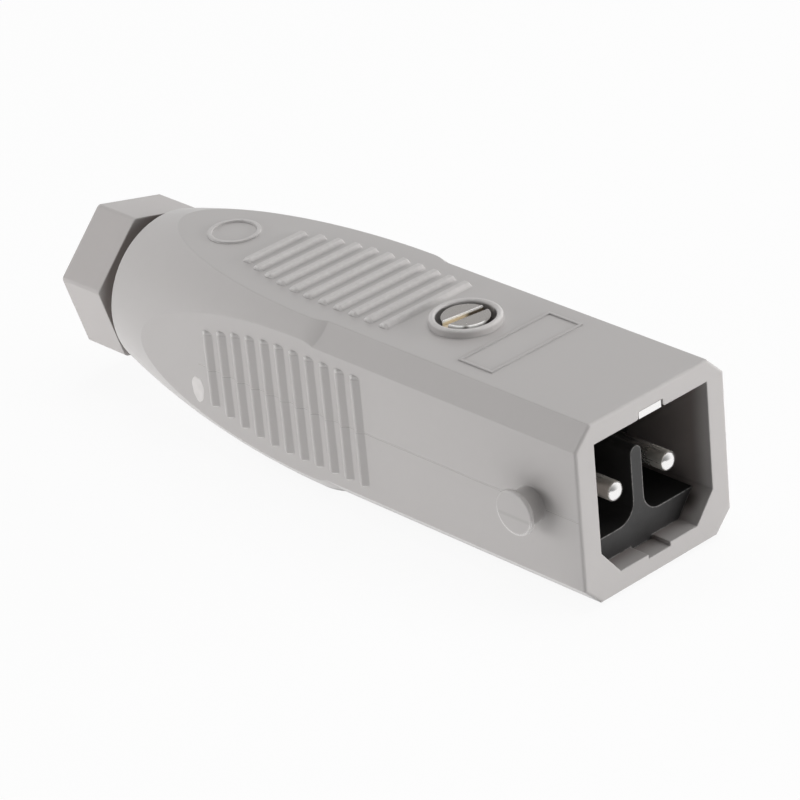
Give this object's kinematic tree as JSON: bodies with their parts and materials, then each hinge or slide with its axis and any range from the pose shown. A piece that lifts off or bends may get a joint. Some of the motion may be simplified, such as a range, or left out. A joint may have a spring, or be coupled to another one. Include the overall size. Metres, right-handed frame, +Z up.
{
  "type": "industrial power connector",
  "caption": "Moulded cable plug with a square mating sleeve, round contact pins, an earth strip, a fixing screw, locking studs, a ribbed grip and a hexagonal cable gland nut.",
  "frame": {"origin": "centre of the mating face at the front of the sleeve", "axes": "+X along the plug and out of the mating face, +Z up towards the fixing screw, +Y to the side along the locking studs"},
  "size_m": [0.0984, 0.032, 0.026],
  "materials": {
    "housing_plastic": "fine matte moulding",
    "nut_plastic": "fine matte moulding",
    "insert_plastic": "black matte moulding",
    "nickel": "nickel plated",
    "steel": "zinc plated",
    "seal_rubber": "matte",
    "washer_plastic": "smooth slip ring"
  },
  "bodies": {
    "connector": {"housing": "housing_plastic", "contact_insert": "insert_plastic", "contact_pin_left": "nickel", "contact_pin_right": "nickel", "terminal_screw_left": "steel", "terminal_screw_right": "steel", "earth_contact": "nickel", "earth_clamp_plate": "steel", "earth_terminal_screw": "steel", "fixing_nut": "steel", "gland_seal": "seal_rubber"},
    "thrust_washer": {"thrust_washer": "washer_plastic"},
    "gland_nut": {"gland_nut": "nut_plastic"},
    "screw_seal": {"screw_seal": "seal_rubber"},
    "fixing_screw": {"fixing_screw": "nickel"}
  },
  "joints": [
    {"name": "gland_travel", "type": "slide", "parent": "connector", "child": "thrust_washer", "axis": [-1, 0, 0], "range_m": [0, 0.00375]},
    {"name": "gland_turn", "type": "hinge", "parent": "thrust_washer", "child": "gland_nut", "pos_m": [-0.0946, 0, 0], "axis": [-1, 0, 0], "range_deg": [0, 901]},
    {"name": "screw_travel", "type": "slide", "parent": "connector", "child": "screw_seal", "axis": [0, 0, 1], "range_m": [0, 0.003]},
    {"name": "screw_turn", "type": "hinge", "parent": "screw_seal", "child": "fixing_screw", "pos_m": [-0.031, 0, 0.01156], "axis": [0, 0, 1], "range_deg": [0, 1802]}
  ],
  "couplings": [
    {"joint": "gland_turn", "follows": "gland_travel", "rad_per_m": 4188.8},
    {"joint": "screw_turn", "follows": "screw_travel", "rad_per_m": 10472}
  ]
}
